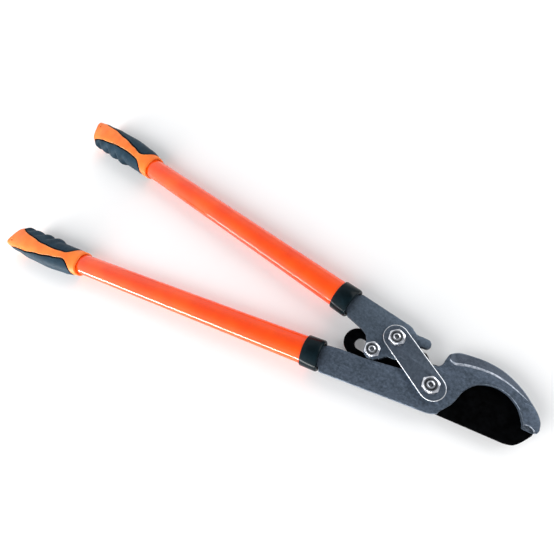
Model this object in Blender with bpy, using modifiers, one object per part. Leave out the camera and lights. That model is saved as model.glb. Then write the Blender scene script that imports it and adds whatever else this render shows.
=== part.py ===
"""Two-hand bypass lopper with a linked (compound) head, jaws closed, lying on its side.

World frame: metres, +Z up. The origin is on the main pivot axis, on the surface that the tool lies on.
+X runs along the bisector of the two handles towards the jaws, +Y towards the moving (upper) handle.
"""

import math

import bmesh
import bpy
from mathutils import Vector

MM = 0.001

# Driving dimensions, all in millimetres and degrees
CLEARANCE = 0.3
HANDLE_HALF_ANGLE = 8.65
LOWER_AXIS_FOOT = Vector((1.4, -9.0))
UPPER_AXIS_FOOT = Vector((3.2, 20.8))
LINK_PIVOT = Vector((-39.7, 22.6))
DRIVE_PIN = Vector((-54.1, 3.9))
STOP_NOTCH = Vector((-5.2, 23.6))

HEAD_THICK = 5.2
WASHER_THICK = 1.4
BLADE_THICK = 5.0
JAW_THICK = 6.8
LINK_THICK = 4.8
NUT_THICK = 7.0

HEAD_BASE = 0.0
WASHER_BASE = HEAD_BASE + HEAD_THICK + CLEARANCE
BLADE_BASE = WASHER_BASE + WASHER_THICK + CLEARANCE
JAW_BASE = BLADE_BASE + BLADE_THICK + CLEARANCE
LINK_BASE = JAW_BASE + JAW_THICK + CLEARANCE
AXIS_HEIGHT = JAW_BASE + JAW_THICK / 2

SHANK_RADIUS = 4.0
BUSH_WALL = 1.7
BUSH_INNER = SHANK_RADIUS + CLEARANCE
BUSH_OUTER = BUSH_INNER + BUSH_WALL
BORE_RADIUS = BUSH_OUTER + CLEARANCE
HEX_FLATS = 13.0
HEX_CORNER = HEX_FLATS / math.sqrt(3)
WASHER_RADIUS = 9.5
SLEEVE_RADIUS = 5.0
SLOT_HALF = SLEEVE_RADIUS + 0.45
SLOT_START = 53.6
SLOT_END = 68.5
HUB_RADIUS = 21.4
LEVER_HUB_RADIUS = 17.5
LOBE_RADIUS = 8.2
LINK_HALF_WIDTH = 11.0
LINK_OVERHANG = 1.6
LINK_COUNTERSINK = 5.0
BLADE_LOBE_RADIUS = 13.0

TUBE_HALF_WIDTH = 13.7
TUBE_HALF_HEIGHT = 10.5
TUBE_WALL = 1.6
TUBE_START = 97.5
TUBE_END = 520.0
FERRULE_START = 95.2
FERRULE_RIM = 112.6
FERRULE_EXTRA = 1.6
PLUG_END = 140.0
TANG_HALF_WIDTH = 10.0
BAR_END = 94.6
BAR_SHOULDER = 92.2
TANG_END = 175.0
PIN_STATION = 127.0
PIN_RADIUS = 2.5
PIN_REACH = 6.5
PIN_STEPS = 16
SLOT_MIDDLE = 118.0
SLOT_LENGTH = 80.0

GRIP_START = 446.0
GRIP_END = 599.0
GRIP_SLANT = 0.6
SOCKET_END = 524.0
SOCKET_FIT = CLEARANCE + 0.1

STEEL_BEVEL = 0.6
CIRCLE_STEPS = 24
LARGE_ARC = 10.0
LARGE_ARC_FACTOR = 1.6
SHARP_ANGLE = 35


def clear_scene():
    for obj in list(bpy.data.objects):
        bpy.data.objects.remove(obj, do_unlink=True)


def new_collection(name):
    collection = bpy.data.collections.new(name)
    bpy.context.scene.collection.children.link(collection)
    return collection


def material(name, colour, roughness, metallic=0.0):
    made = bpy.data.materials.new(name)
    made.use_nodes = True
    shader = made.node_tree.nodes["Principled BSDF"]
    shader.inputs["Base Color"].default_value = (*colour, 1.0)
    shader.inputs["Roughness"].default_value = roughness
    shader.inputs["Metallic"].default_value = metallic
    made.diffuse_color = (*colour, 1.0)
    return made


clear_scene()
parts = new_collection("bypass_lopper")
cutters = new_collection("cutters")

forged = material("forged_steel", (0.10, 0.12, 0.15), 0.45, 0.85)
coated = material("black_coating", (0.01, 0.01, 0.012), 0.5, 0.1)
zinc = material("zinc_plating", (0.75, 0.77, 0.80), 0.25, 1.0)
bronze = material("bush_bronze", (0.45, 0.32, 0.16), 0.4, 0.9)
orange_paint = material("orange_paint", (1.0, 0.12, 0.01), 0.25)
orange_plastic = material("orange_plastic", (1.0, 0.32, 0.06), 0.4)
slate_rubber = material("slate_rubber", (0.05, 0.07, 0.09), 0.7)
collar_plastic = material("collar_plastic", (0.02, 0.03, 0.05), 0.3)


# The moving bodies' empties, each on its joint's axis
def pivot_empty(name, place):
    empty = bpy.data.objects.new(name, None)
    empty.location = (place.x * MM, place.y * MM, 0.0)
    parts.objects.link(empty)
    return empty


MAIN_PIVOT = Vector((0.0, 0.0))
lower_body = pivot_empty("lower_handle_frame", MAIN_PIVOT)
blade_body = pivot_empty("blade_frame", MAIN_PIVOT)
link_body = pivot_empty("link_frame", MAIN_PIVOT)
upper_body = pivot_empty("upper_handle_frame", LINK_PIVOT)
BODY_PIVOTS = {
    lower_body: MAIN_PIVOT,
    blade_body: MAIN_PIVOT,
    link_body: MAIN_PIVOT,
    upper_body: LINK_PIVOT,
}


class Handle:
    """A handle's own frame: station along its axis from the head, side across it, height above the axis."""

    def __init__(self, body, foot, turn):
        self.body = body
        self.foot = foot
        self.angle = math.radians(180 + turn * HANDLE_HALF_ANGLE)
        self.along = Vector((math.cos(self.angle), math.sin(self.angle)))
        self.inward = turn * Vector((self.along.y, -self.along.x))

    def flat(self, station, side):
        return self.foot + self.along * station + self.inward * side

    def place(self, station, side, height):
        spot = self.flat(station, side) - BODY_PIVOTS[self.body]
        return Vector((spot.x, spot.y, AXIS_HEIGHT + height)) * MM


lower = Handle(lower_body, LOWER_AXIS_FOOT, 1)
upper = Handle(upper_body, UPPER_AXIS_FOOT, -1)


# Outlines
def arc(centre, radius, start, end, steps=None):
    """Points along an arc from one angle to another, in degrees."""
    factor = LARGE_ARC_FACTOR if radius > LARGE_ARC else 1.0
    count = steps or max(2, round(abs(end - start) / 360 * CIRCLE_STEPS * factor))
    turns = [math.radians(start + (end - start) * i / count) for i in range(count + 1)]
    return [centre + radius * Vector((math.cos(t), math.sin(t))) for t in turns]


def circle(centre, radius, steps=CIRCLE_STEPS):
    return arc(centre, radius, 0, 360, steps)[:-1]


def smooth(points, steps=3):
    """A Catmull-Rom curve through the points."""
    points = [Vector(p) for p in points]
    padded = [2 * points[0] - points[1], *points, 2 * points[-1] - points[-2]]
    made = []
    for a, b, c, d in zip(padded, padded[1:], padded[2:], padded[3:]):
        for i in range(steps):
            t = i / steps
            made.append(0.5 * (2 * b + (c - a) * t + (2 * a - 5 * b + 4 * c - d) * t**2
                               + (3 * b - a - 3 * c + d) * t**3))
    return made + [points[-1]]


def angle_of(vector):
    return math.degrees(math.atan2(vector.y, vector.x))


def flat_plate(name, outline, holes, base, thick, pivot):
    """A plate: a filled 2D curve, extruded and bevelled, as a curve object."""
    curve = bpy.data.curves.new(name, "CURVE")
    curve.dimensions = "2D"
    curve.fill_mode = "BOTH"
    curve.extrude = thick / 2 * MM
    for loop in [outline, *holes]:
        spline = curve.splines.new("POLY")
        spline.points.add(len(loop) - 1)
        for point, corner in zip(spline.points, loop):
            spot = (corner - pivot) * MM
            point.co = (spot.x, spot.y, 0.0, 1.0)
        spline.use_cyclic_u = True
    obj = bpy.data.objects.new(name, curve)
    obj.location.z = (base + thick / 2) * MM
    return obj


def bevel(obj, width, segments=1, angle=SHARP_ANGLE):
    modifier = obj.modifiers.new("edge", "BEVEL")
    modifier.width = width * MM
    modifier.segments = segments
    modifier.limit_method = "ANGLE"
    modifier.angle_limit = math.radians(angle)
    modifier.use_clamp_overlap = True


def as_mesh(obj):
    """The mesh object that replaces a curve object, with its caps welded on."""
    holder = bpy.context.scene.collection
    holder.objects.link(obj)
    bpy.context.view_layer.update()
    graph = bpy.context.evaluated_depsgraph_get()
    mesh = bpy.data.meshes.new_from_object(obj.evaluated_get(graph))
    made = bpy.data.objects.new(obj.name, mesh)
    made.matrix_world = obj.matrix_world
    name = obj.name
    bpy.data.objects.remove(obj, do_unlink=True)
    made.name = name
    shape = bmesh.new()
    shape.from_mesh(mesh)
    bmesh.ops.remove_doubles(shape, verts=shape.verts, dist=1e-6)
    bmesh.ops.recalc_face_normals(shape, faces=shape.faces)
    shape.to_mesh(mesh)
    shape.free()
    return made


def finish(obj, body, look, rounded=True):
    """Puts a piece in the object's collection, under its body, with its material."""
    obj.parent = body
    obj.data.materials.clear()
    obj.data.materials.append(look)
    parts.objects.link(obj)
    if rounded:
        obj.data.shade_smooth()
        obj.data.set_sharp_from_angle(angle=math.radians(SHARP_ANGLE))
    return obj


def cutter(obj, body):
    obj.parent = body
    obj.hide_render = True
    obj.display_type = "WIRE"
    cutters.objects.link(obj)
    return obj


def boolean(obj, other, operation):
    modifier = obj.modifiers.new(other.name, "BOOLEAN")
    modifier.object = other
    modifier.operation = operation
    modifier.solver = "EXACT"


def turned(name, profile, place, steps=CIRCLE_STEPS):
    """A solid of revolution about a vertical axis: a closed (radius, height) profile with a Screw."""
    mesh = bpy.data.meshes.new(name)
    on_axis = profile[0][0] == 0
    points = [(radius * MM, 0.0, height * MM) for radius, height in profile]
    edges = [(i, i + 1) for i in range(len(points) - 1)]
    if not on_axis:
        edges.append((len(points) - 1, 0))
    mesh.from_pydata(points, edges, [])
    obj = bpy.data.objects.new(name, mesh)
    obj.location = (place.x * MM, place.y * MM, 0.0)
    screw = obj.modifiers.new("turn", "SCREW")
    screw.steps = steps
    screw.render_steps = steps
    screw.use_merge_vertices = True
    screw.merge_threshold = 1e-5
    return obj


def hex_prism(name, flats, base, top, place):
    mesh = bpy.data.meshes.new(name)
    shape = bmesh.new()
    radius = flats / math.sqrt(3) * MM
    bmesh.ops.create_cone(shape, cap_ends=True, segments=6, radius1=radius, radius2=radius,
                          depth=(top - base) * MM)
    shape.to_mesh(mesh)
    shape.free()
    obj = bpy.data.objects.new(name, mesh)
    obj.location = (place.x * MM, place.y * MM, (base + top) / 2 * MM)
    obj.rotation_euler.z = math.radians(10)
    return obj


def local_spot(body, place):
    return place - BODY_PIVOTS[body]


# Fasteners
def bolt(name, body, place, top):
    """A hexagon-head bolt, head down, whose end is level with the collar of its nut."""
    shoulder = HEAD_BASE + HEAD_THICK
    profile = [
        (0.0, top), (SHANK_RADIUS - 0.7, top), (SHANK_RADIUS, top - 0.8), (SHANK_RADIUS, shoulder),
        (HEX_CORNER + 0.3, shoulder), (HEX_CORNER + 0.3, HEAD_BASE + 0.9),
        (HEX_CORNER - 1.0, HEAD_BASE), (0.0, HEAD_BASE),
    ]
    spot = local_spot(body, place)
    obj = turned(name, profile, spot)
    hexagon = cutter(hex_prism(name + "_hexagon", HEX_FLATS, HEAD_BASE - 2, top + 2, spot), body)
    boolean(obj, hexagon, "INTERSECT")
    return finish(obj, body, zinc)


def lock_nut(name, body, place, base):
    """A hexagon nut with the round collar of its nylon ring."""
    top = base + NUT_THICK
    hole = SHANK_RADIUS + CLEARANCE
    profile = [
        (hole, top), (hole + 1.2, top), (hole + 1.9, top - 0.6), (hole + 2.0, top - 1.6),
        (HEX_CORNER - 0.9, top - 1.6), (HEX_CORNER + 0.3, top - 2.5),
        (HEX_CORNER + 0.3, base + 0.5), (HEX_CORNER - 0.4, base), (hole, base),
    ]
    spot = local_spot(body, place)
    obj = turned(name, profile, spot)
    hexagon = cutter(hex_prism(name + "_hexagon", HEX_FLATS, base - 2, top + 2, spot), body)
    boolean(obj, hexagon, "INTERSECT")
    return finish(obj, body, zinc)


def ring(name, body, place, inner, outer, base, top, look, corner=0.3):
    profile = [
        (inner, top), (outer - corner, top), (outer, top - corner),
        (outer, base + corner), (outer - corner, base), (inner, base),
    ]
    return finish(turned(name, profile, local_spot(body, place)), body, look)


def countersunk_bolt(name, body, place, top):
    base = JAW_BASE + CLEARANCE
    profile = [
        (0.0, top), (SHANK_RADIUS - 0.7, top), (SHANK_RADIUS, top - 0.8), (SHANK_RADIUS, base + 3.4),
        (SHANK_RADIUS + 3.2, base + 0.4), (SHANK_RADIUS + 3.2, base), (0.0, base),
    ]
    return finish(turned(name, profile, local_spot(body, place)), body, zinc)


# Plates of the head
def hook_jaw():
    """The hook, its hub, the bar and the tang, one forging. The notch in its neck stops the opening."""
    tang = [lower.flat(TANG_END, -TANG_HALF_WIDTH), lower.flat(TANG_END, TANG_HALF_WIDTH),
            lower.flat(BAR_END, TANG_HALF_WIDTH)]
    bar_top = [
        lower.flat(BAR_SHOULDER, 11.6), Vector((-77.7, -8.4)), Vector((-58.7, -6.0)), Vector((-30.0, 0.6)),
    ]
    hub_top = arc(MAIN_PIVOT, 17.4, 168, 104)
    notch = arc(STOP_NOTCH, 6.5, -92, 8)
    outer = smooth([(1.7, 28.0), (3.0, 32.6), (7.4, 36.6), (14.0, 38.8), (29.2, 40.4), (43.5, 38.6),
                    (57.2, 32.4), (68.6, 23.4), (75.0, 16.2), (77.0, 9.5), (76.3, 6.0)])
    ledge = [Vector((73.3, 5.0)), Vector((67.6, 4.8))]
    inner = smooth([(66.4, 8.4), (60.4, 16.9), (51.8, 22.5), (42.0, 24.0), (33.0, 21.2), (27.0, 16.2),
                    (22.6, 8.0), (19.6, -3.8), (13.6, -14.6)])
    hub_bottom = arc(MAIN_PIVOT, HUB_RADIUS, -52, -80)
    bar_bottom = [lower.flat(BAR_SHOULDER, -14.4), lower.flat(BAR_END, -TANG_HALF_WIDTH)]
    outline = tang + bar_top + hub_top + notch + outer + ledge + inner + hub_bottom + bar_bottom
    obj = as_mesh(flat_plate("hook_jaw", outline, [circle(MAIN_PIVOT, BORE_RADIUS)], JAW_BASE, JAW_THICK,
                             MAIN_PIVOT))
    boolean(obj, tang_pin_cutter(lower), "DIFFERENCE")
    bevel(obj, STEEL_BEVEL)
    return finish(obj, lower_body, forged)


def lever_plate():
    """The forged lever of the upper handle: link pivot, drive pin lobe and the finger of the open stop."""
    tang = [upper.flat(TANG_END, TANG_HALF_WIDTH), upper.flat(TANG_END, -TANG_HALF_WIDTH),
            upper.flat(BAR_END, -TANG_HALF_WIDTH)]
    top = [upper.flat(BAR_SHOULDER, -12.4), Vector((-36.5, 39.4))]
    top += smooth([(-33.0, 38.2), (-28.4, 35.2), (-25.4, 34.4), (-22.3, 34.8)])
    finger = arc(Vector((-17.3, 30.7)), 4.1, 85, -100)
    underside = smooth([(-19.4, 26.2), (-21.6, 24.6), (-22.3, 22.4)], 2)
    hub = arc(LINK_PIVOT, LEVER_HUB_RADIUS, -8, -92)
    waist = smooth([(-42.6, 3.6), (-44.4, 1.4), (-46.2, -0.4)], 2)
    lobe = arc(DRIVE_PIN, LOBE_RADIUS, -30, -180)
    left = smooth([(-62.8, 7.6), (-65.2, 12.4), (-69.8, 15.8), (-76.0, 18.0)])
    shoulder = [upper.flat(BAR_SHOULDER, 13.2), upper.flat(BAR_END, TANG_HALF_WIDTH)]
    outline = tang + top + finger + underside + hub + waist + lobe + left + shoulder
    holes = [circle(LINK_PIVOT, BORE_RADIUS), circle(DRIVE_PIN, SHANK_RADIUS + CLEARANCE)]
    obj = as_mesh(flat_plate("lever_plate", outline, holes, JAW_BASE, JAW_THICK, LINK_PIVOT))
    sink = [
        (0.0, JAW_BASE + 4.6), (SHANK_RADIUS + 0.4, JAW_BASE + 4.6), (SHANK_RADIUS + 3.9, JAW_BASE + 0.9),
        (SHANK_RADIUS + 3.9, JAW_BASE - 1.0), (0.0, JAW_BASE - 1.0),
    ]
    boolean(obj, cutter(turned("link_countersink", sink, local_spot(upper_body, LINK_PIVOT)), upper_body),
            "DIFFERENCE")
    boolean(obj, tang_pin_cutter(upper), "DIFFERENCE")
    bevel(obj, STEEL_BEVEL)
    return finish(obj, upper_body, forged)


def blade():
    """The cutting blade, whose tail is driven through its slot by the pin of the lever."""
    tail_angle = angle_of(DRIVE_PIN)
    tail = DRIVE_PIN.normalized()
    lobe = arc(Vector((-71.0, 5.2)), BLADE_LOBE_RADIUS, 265, 95)
    shoulder = [Vector((-17.4, 24.2)), Vector((-14.4, 24.6)), Vector((-12.2, 23.0))]
    hub = arc(MAIN_PIVOT, 19.4, 112, 62)
    edge = smooth([(13.5, 19.6), (21.0, 24.4), (32.0, 28.6), (44.0, 29.6), (56.0, 25.6), (66.0, 18.2),
                   (73.0, 10.8), (75.8, 6.2)])
    nose = smooth([(75.4, 3.6), (71.2, -4.2), (67.2, -9.2), (61.8, -11.3)])
    spine = arc(MAIN_PIVOT, 18.9, -83, -97)
    outline = lobe + shoulder + hub + edge + nose + spine
    slot = arc(tail * SLOT_START, SLOT_HALF, tail_angle - 90, tail_angle - 270, 10)
    slot += arc(tail * SLOT_END, SLOT_HALF, tail_angle + 90, tail_angle - 90, 10)
    plate = flat_plate("blade", outline, [circle(MAIN_PIVOT, BORE_RADIUS), slot], BLADE_BASE, BLADE_THICK,
                       MAIN_PIVOT)
    obj = as_mesh(plate)
    bevel(obj, STEEL_BEVEL)
    return finish(obj, blade_body, coated)


def link_plate():
    """The flat link between the main pivot and the lever, with round ends."""
    half = LINK_HALF_WIDTH
    direction = angle_of(MAIN_PIVOT - LINK_PIVOT)
    step = LINK_OVERHANG * (MAIN_PIVOT - LINK_PIVOT).normalized()
    outline = arc(MAIN_PIVOT + step, half, direction - 90, direction + 90)
    outline += arc(LINK_PIVOT - step, half, direction + 90, direction + 270)
    holes = [circle(MAIN_PIVOT, BORE_RADIUS), circle(LINK_PIVOT, BORE_RADIUS)]
    obj = as_mesh(flat_plate("link_plate", outline, holes, LINK_BASE, LINK_THICK, MAIN_PIVOT))
    bevel(obj, STEEL_BEVEL)
    return finish(obj, link_body, forged)


# Handles
def oval(half_width, half_height, steps=28):
    turns = [2 * math.pi * i / steps for i in range(steps)]
    return [Vector((half_height * math.cos(t), half_width * math.sin(t))) for t in turns]


def handle_frame(obj, handle, station):
    """Lays a piece modelled along its local Z on a handle's axis."""
    obj.location = handle.place(station, 0, 0)
    obj.rotation_euler = (0, math.radians(90), handle.angle)


def tube(handle, name):
    length = TUBE_END - TUBE_START
    inner = oval(TUBE_HALF_WIDTH - TUBE_WALL, TUBE_HALF_HEIGHT - TUBE_WALL)
    obj = as_mesh(flat_plate(name, oval(TUBE_HALF_WIDTH, TUBE_HALF_HEIGHT), [inner], -length / 2, length,
                             Vector((0, 0))))
    handle_frame(obj, handle, (TUBE_START + TUBE_END) / 2)
    boolean(obj, tang_pin_cutter(handle), "DIFFERENCE")
    return finish(obj, handle.body, orange_paint)


def loft(name, rings, strip_ends=False):
    """A closed solid through rings of equally many points, its first and last ring filled.

    A ring that runs out along one side of a slab and back along the other is filled as a strip.
    """
    mesh = bpy.data.meshes.new(name)
    shape = bmesh.new()
    levels = [[shape.verts.new(point) for point in ring] for ring in rings]
    count = len(levels[0])
    for near, far in zip(levels, levels[1:]):
        for i in range(count):
            j = (i + 1) % count
            shape.faces.new((near[i], near[j], far[j], far[i]))
    for end in (levels[0], levels[-1]):
        if strip_ends:
            for i in range(count // 2 - 1):
                shape.faces.new((end[i], end[i + 1], end[count - 2 - i], end[count - 1 - i]))
        else:
            shape.faces.new(end)
    bmesh.ops.recalc_face_normals(shape, faces=shape.faces)
    shape.to_mesh(mesh)
    shape.free()
    return bpy.data.objects.new(name, mesh)


def tang_pin_cutter(handle):
    name = "pin_hole_" + handle.body.name
    if name in bpy.data.objects:
        return bpy.data.objects[name]
    radius = PIN_RADIUS + CLEARANCE
    top = AXIS_HEIGHT + PIN_REACH + CLEARANCE
    bottom = AXIS_HEIGHT - TUBE_HALF_HEIGHT - 5
    profile = [(0.0, top), (radius, top), (radius, bottom), (0.0, bottom)]
    spot = local_spot(handle.body, handle.flat(PIN_STATION, 0))
    return cutter(turned(name, profile, spot, PIN_STEPS), handle.body)


def tang_pin(handle, name):
    """The blind pin driven from below through tube wall, ferrule plug and tang."""
    top = AXIS_HEIGHT + PIN_REACH
    bottom = AXIS_HEIGHT - TUBE_HALF_HEIGHT - 0.4
    profile = [(0.0, top), (PIN_RADIUS - 0.6, top), (PIN_RADIUS, top - 0.6), (PIN_RADIUS, bottom + 0.6),
               (PIN_RADIUS - 0.6, bottom), (0.0, bottom)]
    spot = local_spot(handle.body, handle.flat(PIN_STATION, 0))
    return finish(turned(name, profile, spot, PIN_STEPS), handle.body, zinc)


def ferrule(handle, name):
    """The plastic collar over the tube's end, one piece with the plug that fills the tube round the tang."""
    width = TUBE_HALF_WIDTH
    height = TUBE_HALF_HEIGHT
    plug = TUBE_WALL + CLEARANCE
    sections = [
        (PLUG_END, -plug - 0.6), (PLUG_END - 2, -plug), (TUBE_START - CLEARANCE, -plug),
        (TUBE_START - CLEARANCE, CLEARANCE), (FERRULE_RIM, CLEARANCE), (FERRULE_RIM, FERRULE_EXTRA - 0.5),
        (FERRULE_RIM - 0.8, FERRULE_EXTRA), (FERRULE_START + 1.2, FERRULE_EXTRA),
        (FERRULE_START, FERRULE_EXTRA - 1.0), (FERRULE_START, -0.8),
        (FERRULE_START + 2.0, -1.2),
    ]
    rings = []
    for station, extra in sections:
        rings.append([(p.x * MM, p.y * MM, station * MM) for p in oval(width + extra, height + extra)])
    obj = loft(name, rings)
    handle_frame(obj, handle, 0)
    slot = bpy.data.meshes.new(name + "_slot")
    shape = bmesh.new()
    bmesh.ops.create_cube(shape, size=1.0)
    bmesh.ops.scale(shape, verts=shape.verts, vec=(
        (JAW_THICK + 2 * CLEARANCE) * MM, 2 * (TANG_HALF_WIDTH + CLEARANCE) * MM, SLOT_LENGTH * MM))
    shape.to_mesh(slot)
    shape.free()
    slot_cutter = cutter(bpy.data.objects.new(name + "_slot", slot), handle.body)
    handle_frame(slot_cutter, handle, SLOT_MIDDLE)
    boolean(obj, slot_cutter, "DIFFERENCE")
    boolean(obj, tang_pin_cutter(handle), "DIFFERENCE")
    return finish(obj, handle.body, collar_plastic)


def blend(value, stations):
    """Smooth interpolation of (station, value) pairs."""
    if value <= stations[0][0]:
        return stations[0][1]
    for (a, low), (b, high) in zip(stations, stations[1:]):
        if value <= b:
            t = (value - a) / (b - a)
            return low + (high - low) * t * t * (3 - 2 * t)
    return stations[-1][1]


FINGER_SIDE = [(446, 16.2), (470, 17.0), (500, 18.8), (560, 19.8), (599, 19.4)]
PALM_SIDE = [(446, 16.8), (470, 20.4), (506, 22.0), (548, 20.6), (582, 17.2), (599, 13.9)]
HALF_HEIGHT = [(446, 13.0), (470, 14.2), (510, 15.8), (560, 15.6), (599, 12.8)]
FINGER_PITCH = 25.0
FINGER_FIRST = 512.0
FINGER_DEPTH = 2.4
FINGER_SPAN = (494, 594)
LEAN_START = 570
SECTION_POWER = 2.3


def grip_point(handle, station, angle, inset=0.0, bumpy=True):
    """A point of the grip's outer surface. Angle 0 is the finger side, 90 the top, 180 the palm side."""
    c, s = math.cos(math.radians(angle)), math.sin(math.radians(angle))
    power = 2 / SECTION_POWER
    first, last = FINGER_SPAN
    wave = max(0.0, min(1.0, (station - first) / 12)) * max(0.0, min(1.0, (last - station) / 8))
    bumps = bumpy * FINGER_DEPTH * wave * math.cos(2 * math.pi * (station - FINGER_FIRST) / FINGER_PITCH)
    reach = blend(station, FINGER_SIDE) + bumps * c**2 if c > 0 else blend(station, PALM_SIDE)
    side = math.copysign(abs(c) ** power, c) * (reach - inset)
    height = math.copysign(abs(s) ** power, s) * (blend(station, HALF_HEIGHT) - inset)
    lean = max(0.0, (station - LEAN_START) / (GRIP_END - LEAN_START)) ** 2
    return handle.place(station - GRIP_SLANT * lean * side, side, height)


def grip_core(handle, name):
    """The hard plastic of a grip, with the socket that takes the tube's end."""
    turns = [360 * i / CIRCLE_STEPS for i in range(CIRCLE_STEPS)]
    bumps = [497 + FINGER_PITCH / 3 * i for i in range(12)]
    stations = [446, 449, 455, 463, 475, 488, *bumps, 593.5, 596.5]
    rings = [[grip_point(handle, s, a) for a in turns] for s in stations]
    rings.append([grip_point(handle, GRIP_END - 1.2, a, 1.2) for a in turns])
    rings.append([grip_point(handle, GRIP_END, a, 4.0) for a in turns])
    rings.insert(0, [grip_point(handle, GRIP_START - 1, a, 1.0) for a in turns])
    for station in (GRIP_START - 1, SOCKET_END):
        hole = []
        for a in turns:
            c, s = math.cos(math.radians(a)), math.sin(math.radians(a))
            hole.append(handle.place(station, (TUBE_HALF_WIDTH + SOCKET_FIT) * c,
                                     (TUBE_HALF_HEIGHT + SOCKET_FIT) * s))
        rings.insert(0, hole)
    obj = loft(name, rings)
    for side in ("finger", "palm"):
        pocket = pad_solid(handle, f"{name}_{side}_pocket", side, PAD_GAP, -4.0, PAD_GAP)
        boolean(obj, cutter(pocket, handle.body), "DIFFERENCE")
    return finish(obj, handle.body, orange_plastic)


PAD_EDGES = {
    "finger": [(460, 60), (474, 74), (495, 78), (523, 74), (556, 60), (590, 40)],
    "palm": [(450, 60), (473, 78), (491, 71), (522, 60), (553, 48), (592, 36)],
}
PAD_FRONTS = {"finger": (467, 9), "palm": (465, 11)}
PAD_BACK = 587.0
PAD_GAP = 0.7
PAD_DEPTH = [(465, 1.4), (500, 3.0)]
PAD_STEPS = (18, 7)
PAD_RADIUS = 16.0


def pad_solid(handle, name, side, grow, lift, below):
    """A rubber inlay of the grip, between two offsets of the grip's surface."""
    lengthwise, across = PAD_STEPS
    front, reach = PAD_FRONTS[side]
    layers = []
    for under_side in (False, True):
        grid = []
        for i in range(lengthwise + 1):
            row = []
            for j in range(across + 1):
                v = 2 * j / across - 1
                start = front - reach * math.sqrt(max(0.0, 1 - v * v)) - grow
                station = start + (PAD_BACK + grow - start) * i / lengthwise
                edge = blend(station, PAD_EDGES[side]) + math.degrees(grow / PAD_RADIUS)
                angle = v * edge if side == "finger" else 180 - v * edge
                inset = blend(station, PAD_DEPTH) + below if under_side else lift
                row.append(grip_point(handle, station, angle, inset, not under_side))
            grid.append(row)
        layers.append(grid)
    outer, under = layers
    rings = [outer[i] + under[i][::-1] for i in range(lengthwise + 1)]
    return loft(name, rings, strip_ends=True)


def pad(handle, name, side):
    return finish(pad_solid(handle, name, side, 0.0, 0.0, 0.0), handle.body, slate_rubber)


def build_handle(handle, prefix):
    tube(handle, prefix + "_tube")
    ferrule(handle, prefix + "_ferrule")
    tang_pin(handle, prefix + "_tang_pin")
    grip_core(handle, prefix + "_grip_core")
    pad(handle, prefix + "_finger_pad", "finger")
    pad(handle, prefix + "_palm_pad", "palm")


def build_pivots():
    link_nut_base = LINK_BASE + LINK_THICK + CLEARANCE
    drive_nut_base = LINK_BASE
    bolt("main_bolt", lower_body, MAIN_PIVOT, link_nut_base + NUT_THICK - 0.4)
    ring("main_washer", lower_body, MAIN_PIVOT, SHANK_RADIUS + CLEARANCE, WASHER_RADIUS, WASHER_BASE,
         WASHER_BASE + WASHER_THICK, zinc)
    link_top = LINK_BASE + LINK_THICK
    ring("main_bush", lower_body, MAIN_PIVOT, BUSH_INNER, BUSH_OUTER, BLADE_BASE, link_top, bronze)
    lock_nut("main_nut", lower_body, MAIN_PIVOT, link_nut_base)
    countersunk_bolt("link_bolt", link_body, LINK_PIVOT, link_nut_base + NUT_THICK - 0.4)
    ring("link_bush", link_body, LINK_PIVOT, BUSH_INNER, BUSH_OUTER, JAW_BASE + LINK_COUNTERSINK, link_top,
         bronze)
    lock_nut("link_nut", link_body, LINK_PIVOT, link_nut_base)
    bolt("drive_bolt", upper_body, DRIVE_PIN, drive_nut_base + NUT_THICK - 0.4)
    ring("drive_washer", upper_body, DRIVE_PIN, SHANK_RADIUS + CLEARANCE, WASHER_RADIUS, WASHER_BASE,
         WASHER_BASE + WASHER_THICK, zinc)
    ring("drive_sleeve", upper_body, DRIVE_PIN, SHANK_RADIUS + CLEARANCE, SLEEVE_RADIUS, BLADE_BASE,
         BLADE_BASE + BLADE_THICK, bronze)
    lock_nut("drive_nut", upper_body, DRIVE_PIN, drive_nut_base)


hook_jaw()
lever_plate()
blade()
link_plate()
build_handle(lower, "lower")
build_handle(upper, "upper")
build_pivots()
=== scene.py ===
"""Two-hand bypass lopper with a linked head: visual pieces, materials, floor, lights and camera.

Lengths in the shape code are millimetres unless a name says otherwise. A handle's pieces are built in the
handle's own frame, (station along its axis from the head, side towards the other handle, height above the
axis), and laid on the frame afterwards. The head's outlines are in the frame's own X and Y.
"""

import math

import bmesh
import bpy
from mathutils import Matrix, Vector
from mathutils.geometry import tessellate_polygon


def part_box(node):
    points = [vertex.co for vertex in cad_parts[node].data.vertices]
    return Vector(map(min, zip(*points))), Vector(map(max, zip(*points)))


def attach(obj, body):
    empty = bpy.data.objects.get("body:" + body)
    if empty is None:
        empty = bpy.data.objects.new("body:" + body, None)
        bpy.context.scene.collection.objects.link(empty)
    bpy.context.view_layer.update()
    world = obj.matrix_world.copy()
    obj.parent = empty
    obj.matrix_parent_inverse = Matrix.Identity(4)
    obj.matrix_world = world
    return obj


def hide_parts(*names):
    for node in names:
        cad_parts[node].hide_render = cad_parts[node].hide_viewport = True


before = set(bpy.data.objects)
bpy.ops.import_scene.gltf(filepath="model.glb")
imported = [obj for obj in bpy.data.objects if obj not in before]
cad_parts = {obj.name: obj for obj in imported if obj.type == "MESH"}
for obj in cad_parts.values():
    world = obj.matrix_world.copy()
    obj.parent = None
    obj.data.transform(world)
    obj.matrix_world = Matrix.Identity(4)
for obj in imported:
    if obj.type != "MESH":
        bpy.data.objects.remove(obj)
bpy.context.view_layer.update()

MM = 0.001


# Places read from the frame, in millimetres
def corners(node):
    low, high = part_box(node)
    return Vector(low) / MM, Vector(high) / MM


def centre(node):
    low, high = corners(node)
    return (low + high) / 2


def levels(node):
    low, high = corners(node)
    return low.z, high.z


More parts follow.
